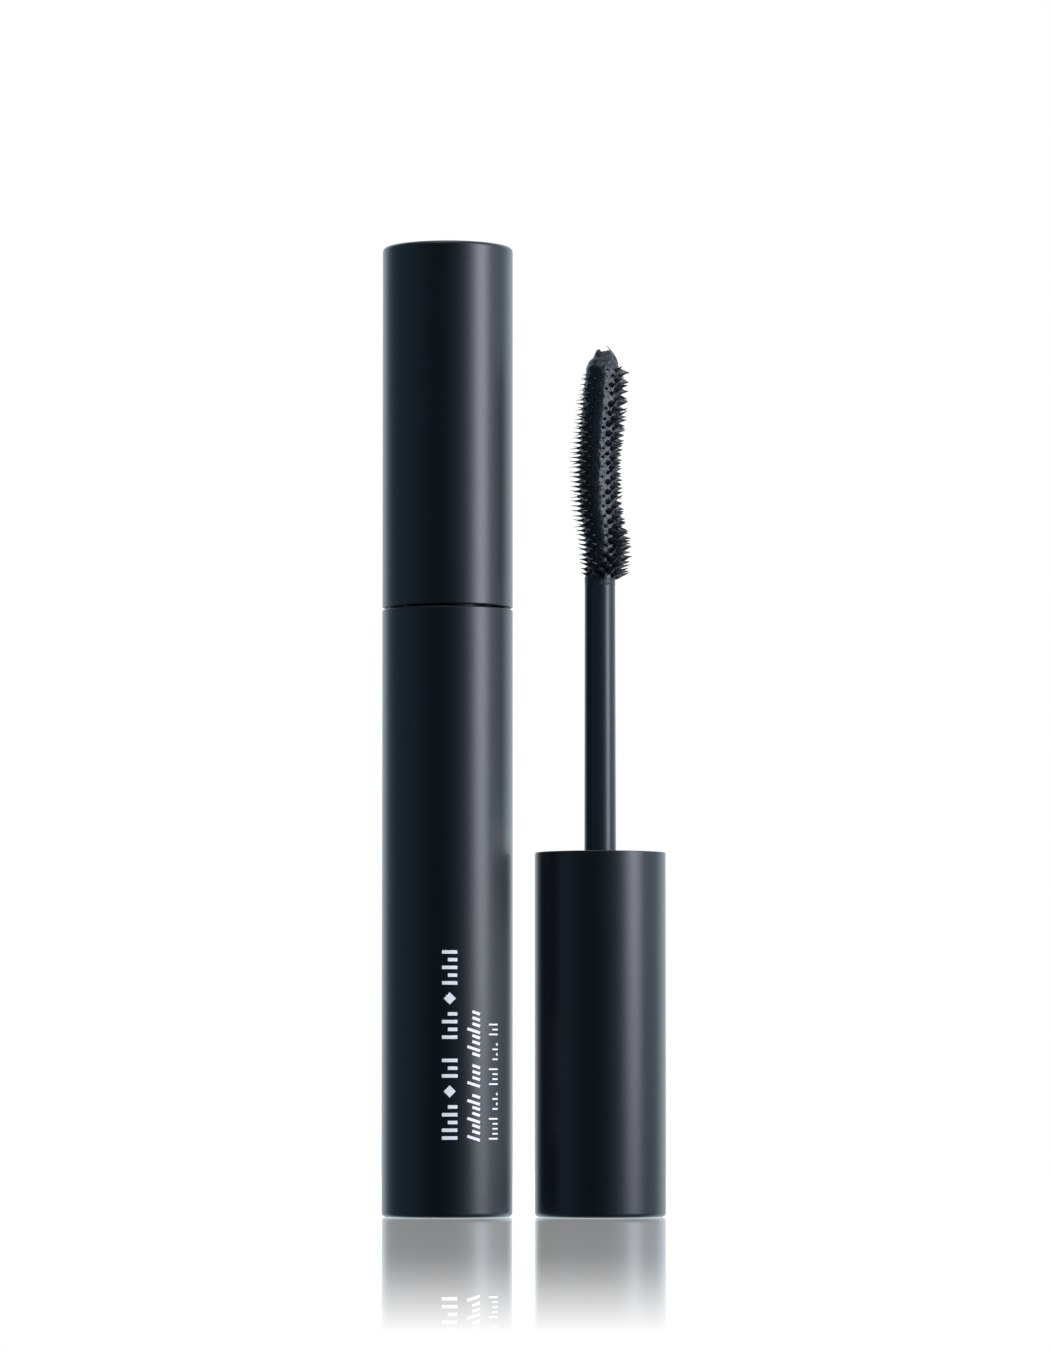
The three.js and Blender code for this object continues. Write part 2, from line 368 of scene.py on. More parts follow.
def softPolyethylene():
    # natural LDPE: milky and waxy, smeared with product round its bore
    finish, tree, shader, place = newFinish("LDPE, natural, injection moulded", {
        "IOR": 1.51, "Subsurface Weight": 0.3, "Subsurface Scale": 0.6 * mm})
    flat = addNode(tree, "ShaderNodeVectorMath", {"operation": "MULTIPLY", 1: (1, 1, 0)}, {0: place})
    reach = addNode(tree, "ShaderNodeVectorMath", {"operation": "LENGTH"}, {0: flat.outputs["Vector"]})
    near = addNode(tree, "ShaderNodeMapRange", {
        "From Min": 3.4 * mm, "From Max": 4.5 * mm, "To Min": 0.75, "To Max": 0.25},
                   {"Value": reach.outputs["Value"]})
    smear = addNode(tree, "ShaderNodeTexNoise", {"Scale": 1 / (1.1 * mm), "Detail": 4.0, "Distortion": 0.8},
                    {"Vector": place})
    where = addNode(tree, "ShaderNodeMath", {"operation": "SUBTRACT"},
                    {0: near.outputs["Result"], 1: smear.outputs["Fac"]})
    cover = addNode(tree, "ShaderNodeMapRange", {"From Min": 0.0, "From Max": 0.05},
                    {"Value": where.outputs["Value"]})
    tone = addNode(tree, "ShaderNodeMix", {
        "data_type": "RGBA", 6: hexColor("#c9c9c4"), 7: hexColor("#101114")}, {0: cover.outputs["Result"]})
    tree.links.new(tone.outputs[2], shader.inputs["Base Color"])
    gloss = addNode(tree, "ShaderNodeMapRange", {"To Min": 0.5, "To Max": 0.25},
                    {"Value": cover.outputs["Result"]})
    tree.links.new(gloss.outputs["Result"], shader.inputs["Roughness"])
    bump = addNode(tree, "ShaderNodeBump", {"Strength": 1.0, "Distance": 0.03 * mm},
                   {"Height": cover.outputs["Result"]})
    tree.links.new(bump.outputs["Normal"], shader.inputs["Normal"])
    return finish


def blackAcetal():
    # acetal as moulded: black and smooth, with a band of half-dried product next to the brush
    finish, tree, shader, place = newFinish("acetal, injection moulded", {
        "Base Color": hexColor("#20262b"), "IOR": 1.42})
    draw = addNode(tree, "ShaderNodeMapping", {"Scale": (1, 1, 0.04)}, {"Vector": place})
    lines = addNode(tree, "ShaderNodeTexNoise", {"Scale": 1 / (0.25 * mm)},
                    {"Vector": draw.outputs["Vector"]})
    tip = addNode(tree, "ShaderNodeAttribute", {"attribute_name": "tipDistance"})
    blobs = addNode(tree, "ShaderNodeTexNoise", {"Scale": 1 / (0.45 * mm), "Detail": 3.0}, {"Vector": place})
    band = addNode(tree, "ShaderNodeMapRange", {
        "From Min": 0.3, "From Max": 1.3, "To Min": 0.8, "To Max": 0.0}, {"Value": tip.outputs["Fac"]})
    ragged = addNode(tree, "ShaderNodeMath", {"operation": "ADD"},
                     {0: band.outputs["Result"], 1: blobs.outputs["Fac"]})
    coat = addNode(tree, "ShaderNodeMapRange", {"From Min": 0.75, "From Max": 0.95},
                   {"Value": ragged.outputs["Value"]})
    gloss = addNode(tree, "ShaderNodeMapRange", {"To Min": 0.33, "To Max": 0.45},
                    {"Value": coat.outputs["Result"]})
    tree.links.new(gloss.outputs["Result"], shader.inputs["Roughness"])
    lumps = addNode(tree, "ShaderNodeMath", {"operation": "MULTIPLY"},
                    {0: coat.outputs["Result"], 1: blobs.outputs["Fac"]})
    height = addNode(tree, "ShaderNodeMath", {"operation": "MULTIPLY_ADD", 1: 0.02},
                     {0: lines.outputs["Fac"], 2: lumps.outputs["Value"]})
    bump = addNode(tree, "ShaderNodeBump", {"Strength": 1.0, "Distance": 0.1 * mm},
                   {"Height": height.outputs["Value"]})
    tree.links.new(bump.outputs["Normal"], shader.inputs["Normal"])
    return finish


def coatedElastomer():
    # thermoplastic elastomer, moulded black, under a wet coat of product: deep black with small glints
    finish, tree, shader, place = newFinish("elastomer, moulded, coated in product", {
        "Base Color": hexColor("#141a20"), "IOR": 1.5})
    cream = addNode(tree, "ShaderNodeTexNoise", {"Scale": 1 / (0.45 * mm), "Detail": 3.0}, {"Vector": place})
    gloss = addNode(tree, "ShaderNodeMapRange", {"To Min": 0.28, "To Max": 0.56},
                    {"Value": cream.outputs["Fac"]})
    tree.links.new(gloss.outputs["Result"], shader.inputs["Roughness"])
    bump = addNode(tree, "ShaderNodeBump", {"Strength": 1.0, "Distance": 0.12 * mm},
                   {"Height": cream.outputs["Fac"]})
    tree.links.new(bump.outputs["Normal"], shader.inputs["Normal"])
    return finish


def screenInk():
    # white screen-printing ink: opaque, matt, a little thinner here and there; a faint warm glow is painted
    # into it, painted light that lifts it above what the lamps give
    finish, tree, shader, place = newFinish("ink, screen printed white, painted glow", {
        "Roughness": 0.55, "IOR": 1.45, "Emission Color": hexColor("#fffbf1"), "Emission Strength": 0.18})
    thin = addNode(tree, "ShaderNodeTexNoise", {"Scale": 1 / (0.25 * mm), "Detail": 3.0}, {"Vector": place})
    tone = addNode(tree, "ShaderNodeMix", {
        "data_type": "RGBA", 6: hexColor("#e9ebec"), 7: hexColor("#fdfdfd")}, {0: thin.outputs["Fac"]})
    tree.links.new(tone.outputs[2], shader.inputs["Base Color"])
    return finish


finishes = {
    "lacquered_abs": satinLacquer(),
    "black_pp": blackPolypropylene(),
    "soft_ldpe": softPolyethylene(),
    "black_pom": blackAcetal(),
    "coated_elastomer": coatedElastomer(),
    "white_ink": screenInk(),
}
print("finishes mixed")


# turned pieces: an outline of (radius, height) or (radius, height, rounding) corners in millimetres

turning = {
    "steps": 5,               # in a rounding's arc
    "wideSteps": 8,           # in one above the wide radius
    "wide": 0.3,
    "support": 1.25,          # place of the point on either side of an arc, as a share of its reach
    "weld": 0.0005,           # points nearer than this become one
    "smoothAngle": math.radians(38),     # sharper edges stay sharp
}


def softOutline(corners):              # each rounding gets a support point on either side of its arc
    points = []
    for before, corner, after in zip(corners[-1:] + corners[:-1], corners, corners[1:] + corners[:1]):
        here = Vector(corner[:2])
        if len(corner) < 3:
            points.append(here)
            continue
        back = (Vector(before[:2]) - here).normalized()
        onward = (Vector(after[:2]) - here).normalized()
        half = back.angle(onward) / 2
        reach = corner[2] / math.tan(half)
        middle = here + (back + onward).normalized() * (corner[2] / math.sin(half))
        start = here + back * reach - middle
        end = here + onward * reach - middle
        steps = turning["wideSteps"] if corner[2] > turning["wide"] else turning["steps"]
        arc = [middle + start.slerp(end, i / steps) * corner[2] for i in range(steps + 1)]
        support = reach * turning["support"]
        points += [here + back * support, *arc, here + onward * support]
    return points


def turnPiece(name, corners, facets, sway=lambda height: 0.0):
    outline = softOutline(corners)
    rings = [point for point in outline if point.x > 0]
    if len(rings) == len(outline):
        rings.append(rings[0])
    radius, height = rings[0]
    deselectAll()
    bpy.ops.mesh.primitive_circle_add(vertices=facets, radius=radius * mm,
                                      location=(sway(height) * mm, 0, height * mm))
    piece = settle(bpy.context.object, name)
    bpy.ops.object.mode_set(mode="EDIT")
    bpy.ops.mesh.select_mode(type="EDGE")
    bpy.ops.mesh.select_all(action="SELECT")
    for newRadius, newHeight in rings[1:]:
        move = ((sway(newHeight) - sway(height)) * mm, 0, (newHeight - height) * mm)
        grow = newRadius / radius
        bpy.ops.mesh.extrude_edges_move(TRANSFORM_OT_translate={"value": move})
        bpy.ops.transform.resize(value=(grow, grow, 1), center_override=(sway(newHeight) * mm, 0, 0))
        radius, height = newRadius, newHeight
    bpy.ops.mesh.select_all(action="SELECT")
    bpy.ops.mesh.remove_doubles(threshold=turning["weld"] * mm)
    bpy.ops.mesh.fill_holes(sides=0)
    bpy.ops.mesh.normals_make_consistent(inside=False)
    bpy.ops.object.mode_set(mode="OBJECT")
    bpy.ops.object.shade_smooth_by_angle(angle=turning["smoothAngle"])
    return piece


def standOn(piece, name, asClosed):    # a copy in its place: upright and aside, or turned over in the tube
    twin = copyOf(piece, name)
    if asClosed:
        twin.rotation_euler = (math.pi, 0, 0)
        twin.location = (0, 0, closedHeight * mm)
    else:
        twin.location = (standX * mm, 0, 0)
    return settle(twin, name)


def finishPiece(piece, body, node, slot):
    piece.data.materials.clear()
    piece.data.materials.append(finishes[slot])
    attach(piece, body)
    if node:
        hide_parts(node)


def placePair(master, part, node, slot, closedBody):
    finishPiece(standOn(master, "display_" + part, False), "display_applicator", "display_" + node, slot)
    finishPiece(standOn(master, part, True), closedBody, node, slot)
    bpy.data.objects.remove(master)


shell = {
    "facets": 192,
    "wall": 0.9,
    "endWall": 1.2,
    "endRounding": 0.5,
    "rimRounding": 0.14,
}


def turnShell(name, height):
    bore = tubeRadius - shell["wall"]
    return turnPiece(name, [
        (0, 0),
        (tubeRadius, 0, shell["endRounding"]),
        (tubeRadius, height, shell["rimRounding"]),
        (bore, height, shell["rimRounding"]),
        (bore, shell["endWall"], shell["endRounding"]),
        (0, shell["endWall"]),
    ], shell["facets"])


sleeve = turnShell("bottle_sleeve", bottleHeight)
finishPiece(sleeve, "bottle", "outer_bottle", "lacquered_abs")
placePair(turnShell("shell_master", capHeight), "cap_shell", "outer_cap", "lacquered_abs", "cap")
print("shells turned")


thread = {
    "pitch": 2.4,
    "turns": 1.5,
    "depth": 0.55,
    "rootWidth": 1.2,
    "crestWidth": 0.5,
    "sunk": 0.2,              # how far the ridge reaches into its wall
    "steps": 72,              # in one turn
    "runout": 9,              # steps over which each end dies away
}


def windThread(wall, start, side):     # outwards and downwards when side is 1, inwards and upwards when -1
    inner, outer = wall - side * thread["sunk"], wall + side * thread["depth"]
    deselectAll()
    bpy.ops.mesh.primitive_plane_add(size=1, location=((inner + outer) / 2 * mm, 0, start * mm),
                                     rotation=(math.pi / 2, 0, 0))
    ridge = bpy.context.object
    ridge.scale = (abs(outer - inner) * mm, thread["rootWidth"] * mm, 1)
    settle(ridge, "thread")
    selectPoints(ridge, lambda point: abs(point.x - outer) < 0.01)      # its crest
    bpy.ops.transform.resize(value=(1, 1, thread["crestWidth"] / thread["rootWidth"]),
                             center_override=(0, 0, start * mm))
    bpy.ops.mesh.select_mode(type="FACE")
    bpy.ops.mesh.select_all(action="SELECT")
    count = round(thread["turns"] * thread["steps"])
    size = 1.0
    angle, height = 0.0, start
    for step in range(count + 1):
        wanted = min(1, (step + 0.5) / thread["runout"], (count - step + 0.5) / thread["runout"])
        if step:
            climb = -side / thread["steps"]
            angle += climb * 2 * math.pi
            height += climb * thread["pitch"]
            bpy.ops.mesh.extrude_region_move(
                TRANSFORM_OT_translate={"value": (0, 0, climb * thread["pitch"] * mm)})
            bpy.ops.transform.rotate(value=-climb * 2 * math.pi, orient_axis="Z", center_override=(0, 0, 0))
        root = (inner * math.cos(angle) * mm, inner * math.sin(angle) * mm, height * mm)
        grow = wanted / size
        bpy.ops.transform.resize(value=(grow, grow, grow), center_override=root)
        size = wanted
    bpy.ops.mesh.select_all(action="SELECT")
    bpy.ops.mesh.normals_make_consistent(inside=False)
    bpy.ops.object.mode_set(mode="OBJECT")
    return ridge


def weld(piece, extra):                # one skin out of two closed bodies that cross
    applyModifier(piece, "BOOLEAN", {"operation": "UNION", "solver": "EXACT", "object": extra})
    bpy.data.objects.remove(extra)
    pick(piece)
    bpy.ops.object.shade_smooth_by_angle(angle=turning["smoothAngle"])


innerBottle = {
    "facets": 144,
    "sleeveGap": 0.35,        # between the reservoir and the sleeve
    "wall": 1.0,
    "floorWall": 1.2,
    "shoulder": 1.6,
    "shoulderDrop": 0.5,      # below the sleeve's rim
    "cone": 2.0,              # height over which the neck opens out
    "neckRadius": 5.1,
    "neckBore": 4.1,          # the wiper is pressed in here
    "landStep": 0.3,          # the foot of the neck is plain and this much thicker
    "landHeight": 1.6,
    "threadStart": 2.6,       # below the mouth
}


def makeInnerBottle():
    low, high = spanOf("inner_bottle")
    radius = tubeRadius - shell["wall"] - innerBottle["sleeveGap"]
    bore = radius - innerBottle["wall"]
    floor = low.z + innerBottle["floorWall"]
    shoulderTop = bottleHeight - innerBottle["shoulderDrop"]
    shoulderFoot = shoulderTop - innerBottle["shoulder"]
    neck, land = innerBottle["neckRadius"], innerBottle["neckRadius"] + innerBottle["landStep"]
    body = turnPiece("inner_bottle_body", [
        (0, low.z),
        (radius, low.z, 0.8),
        (radius, shoulderFoot, 0.2),
        (high.x, shoulderFoot, 0.15),
        (high.x, shoulderTop, 0.2),
        (land, shoulderTop, 0.15),
        (land, shoulderTop + innerBottle["landHeight"], 0.1),
        (neck, shoulderTop + innerBottle["landHeight"], 0.1),
        (neck, high.z, 0.25),
        (innerBottle["neckBore"], high.z, 0.1),
        (innerBottle["neckBore"], shoulderFoot, 0.4),
        (bore, shoulderFoot - innerBottle["cone"], 0.4),
        (bore, floor, 0.8),
        (0, floor),
    ], innerBottle["facets"])
    weld(body, windThread(neck, high.z - innerBottle["threadStart"], 1))
    finishPiece(body, "bottle", "inner_bottle", "black_pp")


wiper = {
    "facets": 120,
    "wall": 0.5,
    "radius": 3.95,           # of its straight part, in the neck
    "flange": 0.6,            # thickness of the rim that stops it at the mouth
    "lip": 0.45,              # thickness of the lip that strips the rod
    "lipRadius": 2.095,       # of the hole in it
    "funnel": 4.5,            # height over which it narrows to the lip
}


def makeWiper():
    low, high = spanOf("wiper")
    funnelTop = low.z + wiper["funnel"]
    flangeFoot = high.z - wiper["flange"]
    body = turnPiece("wiper_insert", [
        (wiper["lipRadius"], low.z, 0.08),
        (wiper["lipRadius"] + wiper["lip"], low.z, 0.12),
        (wiper["radius"], funnelTop, 0.4),
        (wiper["radius"], flangeFoot, 0.05),
        (high.x, flangeFoot, 0.12),
        (high.x, high.z, 0.2),
        (wiper["radius"] - wiper["wall"], high.z, 0.3),
        (wiper["radius"] - wiper["wall"], funnelTop, 0.4),
        (wiper["lipRadius"], low.z + wiper["lip"], 0.1),
    ], wiper["facets"])
    finishPiece(body, "bottle", "wiper", "soft_ldpe")


innerCap = {                  # heights are above the cap's closed end
    "facets": 144,
    "wall": 0.6,
    "web": 1.2,               # thickness of the floor that the rod's collar sits on
    "webFoot": 28.9,
    "towerRadius": 3.475,     # the tower behind the floor holds the rod's plug
    "towerBore": 2.375,
    "towerEnd": 1.0,
    "threadStart": 36.0,
}


def makeInnerCap():
    low, high = spanOf("display_inner_cap")
    radius = (high.x - low.x) / 2
    bore = radius - innerCap["wall"]
    webTop = innerCap["webFoot"] + innerCap["web"]
    body = turnPiece("inner_cap_master", [
        (0, low.z),
        (innerCap["towerRadius"], low.z, 0.3),
        (innerCap["towerRadius"], innerCap["webFoot"], 0.3),
        (radius, innerCap["webFoot"], 0.2),
        (radius, high.z, 0.15),
        (bore, high.z, 0.15),
        (bore, webTop, 0.2),
        (innerCap["towerBore"], webTop, 0.15),
        (innerCap["towerBore"], low.z + innerCap["towerEnd"], 0.2),
        (0, low.z + innerCap["towerEnd"]),
    ], innerCap["facets"])
    weld(body, windThread(bore, innerCap["threadStart"], -1))
    placePair(body, "cap_insert", "inner_cap", "black_pp", "cap")


rod = {
    "facets": 96,
    "plugRadius": 2.225,      # of the end in the cap's tower
    "plugLength": 6.6,
    "collar": 0.9,            # thickness of the ring that stops it there
    "radius": 1.975,          # at the cap
    "tipRadius": 1.875,       # at the brush
    "socketRadius": 1.05,     # for the brush's plug
    "socketDepth": 7.2,
}


def makeRod():
    low, high = spanOf("display_rod")
    collarRadius = (high.x - low.x) / 2
    collarFoot = low.z + rod["plugLength"]
    collarTop = collarFoot + rod["collar"]
    body = turnPiece("rod_master", [
        (0, low.z),
        (rod["plugRadius"], low.z, 0.3),
        (rod["plugRadius"], collarFoot, 0.1),
        (collarRadius, collarFoot, 0.15),
        (collarRadius, collarTop, 0.15),
        (rod["radius"], collarTop, 0.3),
        (rod["tipRadius"], high.z, 0.25),
        (rod["socketRadius"], high.z, 0.05),
        (rod["socketRadius"], high.z - rod["socketDepth"]),
        (0, high.z - rod["socketDepth"]),
    ], rod["facets"])
    reach = body.data.attributes.new("tipDistance", "FLOAT", "POINT")
    for point in body.data.vertices:
        reach.data[point.index].value = high.z - point.co.z / mm
    placePair(body, "wand_rod", "rod", "black_pom", "wand")


makeInnerBottle()
print("inner bottle moulded")
makeWiper()
makeInnerCap()
makeRod()
print("wiper, cap insert and rods made")


# the moulded brush head, in millimetres; its sections run from its foot (0) to its tip (1)

brush = {
    "core": [                 # share of the length, sideways place of the core, its radius
        (0.00, 0.02, 1.80), (0.03, 0.16, 1.86), (0.06, 0.30, 1.94), (0.14, 0.26, 2.02),
        (0.23, 0.10, 2.15), (0.31, -0.16, 2.20), (0.45, -0.32, 2.20), (0.62, -0.16, 2.20),
        (0.82, 0.20, 2.22), (0.89, 0.40, 2.15), (0.92, 0.36, 2.05), (0.95, 0.42, 1.75),
        (0.975, 0.54, 1.30), (1.00, 0.55, 1.00),
    ],
    "facets": 48,
    "rings": 110,             # up the core
    "plugRadius": 0.9,        # in the rod's socket
    "lap": 0.3,               # the product laps this far over the rod's end
    "bead": [                 # radius and height above its foot of the bead of product at the rod's end
        (1.8, 0), (1.93, 0.12), (1.92, 0.35), (1.82, 0.6), (1.76, 0.85),
    ],
    "wallFoot": 1.1,          # the core's own wall begins this far above the foot of the bead
    "lip": 0.2,               # and ends this far below the tip, where the torn product turns in
    "crater": [               # how far in and how far below the tip its points are
        (0.12, 0.1), (0.35, 0.3), (0.6, 0.42),
    ],
    "craterFloor": (0.12, 0.45),         # radius and depth below the tip
    "peaks": [(-0.25, 0.25), (1.3, 0.1)],        # sideways place and height of its two peaks
    "peakWidth": 0.35,        # either side of the middle, and down from the tip
    "lumps": 0.11,            # depth of the lumps of product on the core
    "lumpSize": 0.75,
    "fill": 0.3,              # product that buries the bristles along the front and the back
    "fillShift": -0.1,
    "fillWidth": 0.6,         # either side of its middle, before it slopes down
    "fillSpread": 0.7,
    "fillDepth": 1.7,         # it lies on the part of the core that is further out than this
    "fillFoot": 1.5,          # it begins this far above the rod
    "fillEnd": 2.0,           # and ends this far below the tip
}
bristles = {
    "columns": 19,            # round the core
    "climb": 9,               # pitches that the pattern rises in one turn
    "pitch": 1.2,             # along a column
    "sides": 6,
    "tips": [                 # share of the length, sideways place of the tips' circle, its radius
        (0.00, 0.65, 2.95), (0.12, 0.60, 3.38), (0.33, -0.42, 3.28), (0.50, -0.56, 3.28),
        (0.76, 0.22, 3.27), (0.85, 0.52, 3.08), (0.93, 0.90, 2.70),
    ],
    "rootRadius": 1.7,        # where one starts, inside the core
    "first": 0.15,            # the first row's height above the rod
    "last": 0.92,             # share of the length under which the last row stays
    "lastGap": 0.05,
    "buriedRadius": 2.6,      # where the product over the roots is measured, sideways from the middle
    "buriedWidth": 1.25,      # past this none is buried
    "buriedFade": 0.6,        # and nearer than this to that limit they sink gradually
    "buriedFoot": 0.06,       # share of the length below which none is buried
    "buriedFootFade": 0.1,
    "buriedTip": 0.12,        # how far a buried one stands out of the product
    "footZone": 0.2,          # share of the length in which those at the foot lean and curl
    "footTilt": 0.05,
    "crownStart": 0.82,       # share of the length from which those at the crown lean up
    "crownZone": 0.12,
    "crownTilt": 0.12,
    "thickRight": 1.1,        # those on the right are thicker, and towards the left they get thinner
    "thinLeft": 0.42,
    "hairFrom": -0.2,         # those that point further to the left than this are the thin-tipped kind
    "hooked": 0.08,           # share of curled ones
    "hookedFoot": 0.5,        # and how much more of them there are at the foot
    "hookedCrown": 0.5,       # and on the right near the crown
    "hookedCrownFrom": 0.7,
    "curlUp": 0.7,            # share of tips that curl up and not down
    "turnJitter": 0.02,
    "tiltJitter": 0.035,
    "curlJitter": 0.5,
    "lengths": (0.95, 1.03),
    "thicknesses": (0.88, 1.12),
    "seed": 11,
}
strayHair = {                 # one long hair of product at the tip
    "place": (1.95, -0.3, -1.7),         # from the head's axis and its tip
    "way": (0.02, 0, 1),
    "curl": (-1, 0, 0),
    "length": 2.35,
    "thickness": 1.1,
}
headLow, headHigh = spanOf("display_brush_head")
headFoot = spanOf("display_rod")[1].z
headLength = headHigh.z - headFoot


def easeBetween(stations, at):
    if at <= stations[0][0]:
        return stations[0][1:]
    for lower, upper in zip(stations, stations[1:]):
        if at <= upper[0]:
            share = (at - lower[0]) / (upper[0] - lower[0])
            share = share * share * (3 - 2 * share)
            return [a + (b - a) * share for a, b in zip(lower[1:], upper[1:])]
    return stations[-1][1:]


def coreAt(height):                    # sideways place and radius; the core bows less than the tips' circle
    return easeBetween(brush["core"], (height - headFoot) / headLength)


def coreSway(height):
    return coreAt(height)[0]


def fillRoots(core, way):              # product along the front when way is -1, along the back when 1
    lowest = headFoot + brush["fillFoot"]
    highest = headHigh.z - brush["fillEnd"]
    selectPoints(core, lambda point: way * point.y > brush["fillDepth"] and lowest < point.z < highest
                 and abs(point.x - coreSway(point.z) - brush["fillShift"]) < brush["fillWidth"])
    bpy.ops.transform.translate(
        value=(0, way * brush["fill"] * mm, 0), use_proportional_edit=True,
        proportional_edit_falloff="SMOOTH", proportional_size=brush["fillSpread"] * mm)
    bpy.ops.object.mode_set(mode="OBJECT")


def makeCore():
    foot, tip = headFoot - brush["lap"], headHigh.z
    wallFoot = foot + brush["wallFoot"]
    wallTop = tip - brush["lip"]
    heights = [wallFoot + (wallTop - wallFoot) * ring / brush["rings"] for ring in range(brush["rings"])]
    top = brush["core"][-1][2]
    floorRadius, floorDepth = brush["craterFloor"]
    core = turnPiece("brush_core", [
        (0, headLow.z),
        (brush["plugRadius"], headLow.z, 0.2),
        (brush["plugRadius"], foot),
        *[(radius, foot + rise) for radius, rise in brush["bead"]],
        *[(coreAt(height)[1], height) for height in heights],
        (top, wallTop),
        *[(top - inward, tip - depth) for inward, depth in brush["crater"]],
        (floorRadius, tip - floorDepth),
        (0, tip - floorDepth),
    ], brush["facets"], coreSway)
    for way in (-1, 1):
        fillRoots(core, way)
    for peak, lift in brush["peaks"]:
        selectPoints(core, lambda point: point.z > tip - brush["peakWidth"]
                     and abs(point.x - peak) < brush["peakWidth"])
        bpy.ops.transform.translate(value=(0, 0, lift * mm))
    bpy.ops.object.mode_set(mode="OBJECT")
    cream = bpy.data.textures.new("cream", "CLOUDS")
    cream.noise_scale = brush["lumpSize"] * mm
    applyModifier(core, "DISPLACE", {
        "texture": cream, "texture_coords": "GLOBAL",
        "strength": brush["lumps"] * 2 * mm, "mid_level": 0.5})
    bpy.ops.object.shade_smooth()
    return core


bristleShapes = {             # (share of the length, thickness) of each section, and the lean of the tip
    "cone": ([(0.0, 0.52), (0.30, 0.43), (0.48, 0.31), (0.66, 0.20), (0.84, 0.11), (1.0, 0.04)], 0.08),
    "hair": ([(0.0, 0.50), (0.28, 0.42), (0.42, 0.28), (0.56, 0.14), (0.72, 0.08), (1.0, 0.03)], 0.14),
    "hook": ([(0.0, 0.46), (0.24, 0.36), (0.42, 0.22), (0.60, 0.14), (0.80, 0.10), (1.0, 0.03)], 0.40),
    "stray": ([(0.0, 0.34), (0.3, 0.24), (0.5, 0.15), (0.7, 0.09), (0.85, 0.06), (1.0, 0.03)], 1.1),
}


def makeBristle(name):
    sections, lean = bristleShapes[name]
    along, thickness = sections[0]
    deselectAll()
    bpy.ops.mesh.primitive_circle_add(vertices=bristles["sides"], radius=thickness * mm)
    bristle = settle(bpy.context.object, "bristle_" + name)
    bpy.ops.object.mode_set(mode="EDIT")
    bpy.ops.mesh.select_mode(type="EDGE")
    bpy.ops.mesh.select_all(action="SELECT")
    for newAlong, newThickness in sections[1:]:
        move = (lean * (newAlong ** 2 - along ** 2) * mm, 0, (newAlong - along) * mm)
        grow = newThickness / thickness
        bpy.ops.mesh.extrude_edges_move(TRANSFORM_OT_translate={"value": move})
        bpy.ops.transform.resize(value=(grow, grow, 1), center_override=(lean * newAlong ** 2 * mm, 0, 0))
        along, thickness = newAlong, newThickness
    bpy.ops.mesh.select_all(action="SELECT")
    bpy.ops.mesh.fill_holes(sides=0)
    bpy.ops.mesh.normals_make_consistent(inside=False)
    bpy.ops.object.mode_set(mode="OBJECT")
    bpy.ops.object.shade_smooth()
    return bristle


def plantBristle(master, root, way, length, thickness, up):
    outward = way.normalized()
    upward = (up - outward * up.dot(outward)).normalized()
    across = outward.cross(upward)
    turned = Matrix((upward * thickness, across * thickness, outward * length)).transposed().to_4x4()
    bristle = copyOf(master, "bristle")
    bristle.matrix_world = Matrix.Translation(root * mm) @ turned
    return bristle


def clampShare(value):
    return min(1.0, max(0.0, value))


def tipReach(height, aim):             # from the core's middle to the tips' circle, or to the product
    at = (height - headFoot) / headLength
    circleX, circle = easeBetween(bristles["tips"], at)
    off = (coreSway(height) - circleX) * aim.x
    gap = (coreSway(height) - circleX) ** 2
    reach = -off + math.sqrt(off * off - gap + circle * circle)
    across = abs(aim.x * bristles["buriedRadius"] - brush["fillShift"])
    buried = clampShare((bristles["buriedWidth"] - across) / bristles["buriedFade"])
    buried *= clampShare((at - bristles["buriedFoot"]) / bristles["buriedFootFade"])
    skin = coreAt(height)[1] + brush["fill"] + bristles["buriedTip"]
    return reach + (skin - reach) * buried


def growBristle(masters, dice, height, turn):
    at = (height - headFoot) / headLength
    nearFoot = max(0.0, 1 - at / bristles["footZone"])
    nearCrown = max(0.0, (at - bristles["crownStart"]) / bristles["crownZone"])
    angle = turn + dice.gauss(0, bristles["turnJitter"])
    aim = Vector((math.cos(angle), math.sin(angle), 0))
    reach = tipReach(height, aim)
    root = Vector((coreSway(height), 0, height)) + aim * bristles["rootRadius"]
    tilt = bristles["footTilt"] * nearFoot + bristles["crownTilt"] * nearCrown
    aim.z = tilt + dice.gauss(0, bristles["tiltJitter"])
    length = (reach - bristles["rootRadius"]) * dice.uniform(*bristles["lengths"])
    thickness = bristles["thickRight"] if aim.x > 0 else 1 + bristles["thinLeft"] * aim.x
    hooked = bristles["hooked"] + bristles["hookedFoot"] * nearFoot
    if at > bristles["hookedCrownFrom"] and aim.x > 0:
        hooked += bristles["hookedCrown"]
    kind = "cone" if aim.x > bristles["hairFrom"] else "hair"
    if dice.random() < hooked:
        kind = "hook"
    sideways = (dice.gauss(0, bristles["curlJitter"]), dice.gauss(0, bristles["curlJitter"]))
    curl = 1 if dice.random() < bristles["curlUp"] + nearFoot else -1
    thickness *= dice.uniform(*bristles["thicknesses"])
    return plantBristle(masters[kind], root, aim, length, thickness, Vector((*sideways, curl)))


def plantBristles(masters):
    dice = random.Random(bristles["seed"])
    planted = []
    first = headFoot + bristles["first"]
    last = headFoot + headLength * bristles["last"] - bristles["lastGap"]
    for column in range(bristles["columns"]):
        turn = 2 * math.pi * column / bristles["columns"]
        offset = (column * bristles["climb"] / bristles["columns"]) % 1 * bristles["pitch"]
        for row in range(math.ceil((last - first) / bristles["pitch"])):
            height = first + offset + row * bristles["pitch"]
            if height <= last:
                planted.append(growBristle(masters, dice, height, turn))
    return planted


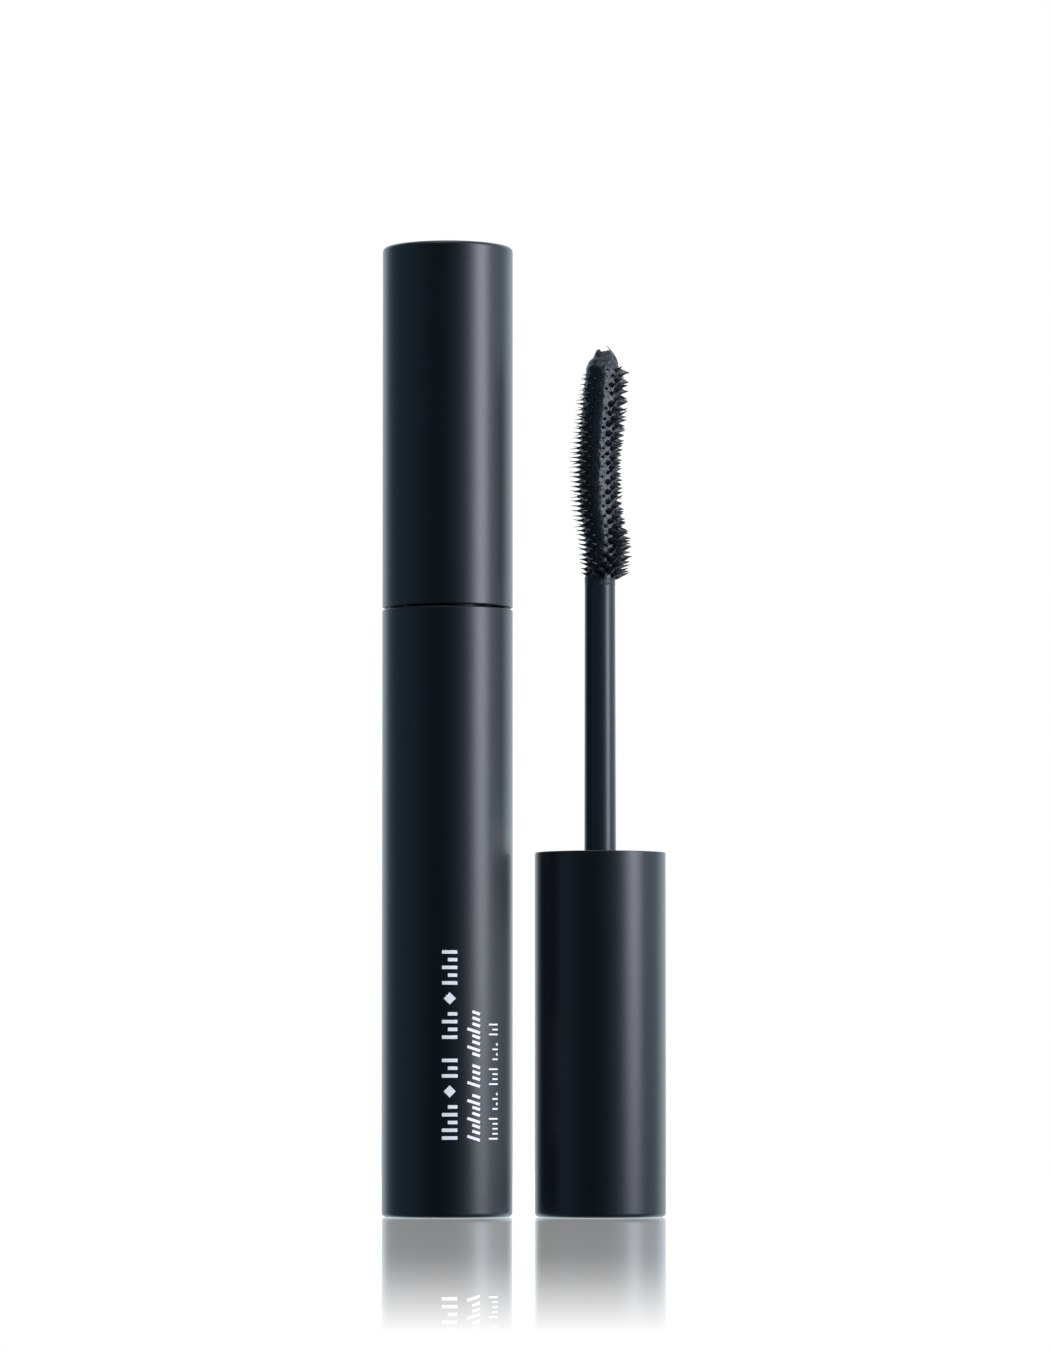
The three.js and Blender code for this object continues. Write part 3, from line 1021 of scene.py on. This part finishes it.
def makeBrushHead():
    core = makeCore()
    masters = {name: makeBristle(name) for name in bristleShapes}
    planted = plantBristles(masters)
    start = Vector(strayHair["place"]) + Vector((0, 0, headHigh.z))
    stray = plantBristle(masters["stray"], start, Vector(strayHair["way"]),
                         strayHair["length"], strayHair["thickness"], Vector(strayHair["curl"]))
    pick(core, *planted, stray)
    bpy.ops.object.join()
    for master in masters.values():
        bpy.data.objects.remove(master)
    placePair(core, "coated_brush", "brush_head", "coated_elastomer", "cap")


makeBrushHead()
print("brush heads planted")


# print on the sleeve: three upright rows of plain marks, no lettering

markShares = {"L": 1.0, "s": 0.62, "D": 0.55, "d": 0.2}      # full stroke, short one, diamond, dot
printRows = {
    "start": 9.45,            # height of the foot of every row
    "ink": 0.014,             # thickness of the film
    "lift": 0.002,            # between the film and the lacquer
    "cuts": 7,                # across a mark, so that it can follow the sleeve
    "standOff": 0.05,         # a mark is drawn this far in front of the sleeve, then laid on it
    "bold": {"azimuth": 2.9, "tall": 1.9, "stroke": 0.42, "slant": 0, "pitch": 0.935,
             "marks": "LLsLs D LsL  LsLs D LsLsL"},
    "leaning": {"azimuth": 24.4, "tall": 1.75, "stroke": 0.34, "slant": 17, "pitch": 0.72,
                "marks": "LssLssLs Lsss sLssLsss"},
    "fine": {"azimuth": 45.2, "tall": 1.5, "stroke": 0.2, "slant": 0, "pitch": 0.60,
             "marks": "LsssL sdsd LssL sdsd LsL"},
}


def addMark(kind, row, height):
    tall = row["tall"] * markShares[kind]
    wide = tall if kind in "Dd" else row["stroke"]
    middle = row["tall"] / 2 - tall / 2 if kind in "sd" else 0
    slant = 45 if kind in "Dd" else row["slant"]
    front = -(tubeRadius + printRows["standOff"])
    deselectAll()
    bpy.ops.mesh.primitive_plane_add(size=1, rotation=(math.pi / 2, math.radians(slant), 0),
                                     location=(middle * mm, front * mm, height * mm))
    mark = bpy.context.object
    mark.scale = (tall * mm, wide * mm, 1)
    settle(mark, "mark")
    bpy.ops.object.mode_set(mode="EDIT")
    bpy.ops.mesh.subdivide(number_cuts=printRows["cuts"])
    bpy.ops.object.mode_set(mode="OBJECT")
    return mark


def printRow(name):
    row = printRows[name]
    marks = [addMark(kind, row, printRows["start"] + row["stroke"] / 2 + place * row["pitch"])
             for place, kind in enumerate(row["marks"]) if kind != " "]
    pick(*marks)
    bpy.ops.object.join()
    printed = bpy.context.object
    printed.rotation_euler = (0, 0, math.radians(row["azimuth"]))
    settle(printed, "print_" + name)
    applyModifier(printed, "SHRINKWRAP", {
        "target": sleeve, "wrap_method": "NEAREST_SURFACEPOINT", "wrap_mode": "ABOVE_SURFACE",
        "offset": printRows["lift"] * mm})
    applyModifier(printed, "SOLIDIFY", {"thickness": printRows["ink"] * mm, "offset": 1.0})
    finishPiece(printed, "bottle", None, "white_ink")


for name in ("bold", "leaning", "fine"):
    printRow(name)
print("sleeve printed")


# the rim card lights only the closed tube, and the standing applicator is in the way of neither card

closedTube = bpy.data.collections.new("closed_tube")
for name in ("bottle_sleeve", "cap_shell"):
    closedTube.objects.link(bpy.data.objects[name])
bpy.data.objects["rim_card"].light_linking.receiver_collection = closedTube
for name in ("rim_card", "side_card"):
    bpy.data.objects[name].light_linking.blocker_collection = closedTube
print("cards linked")
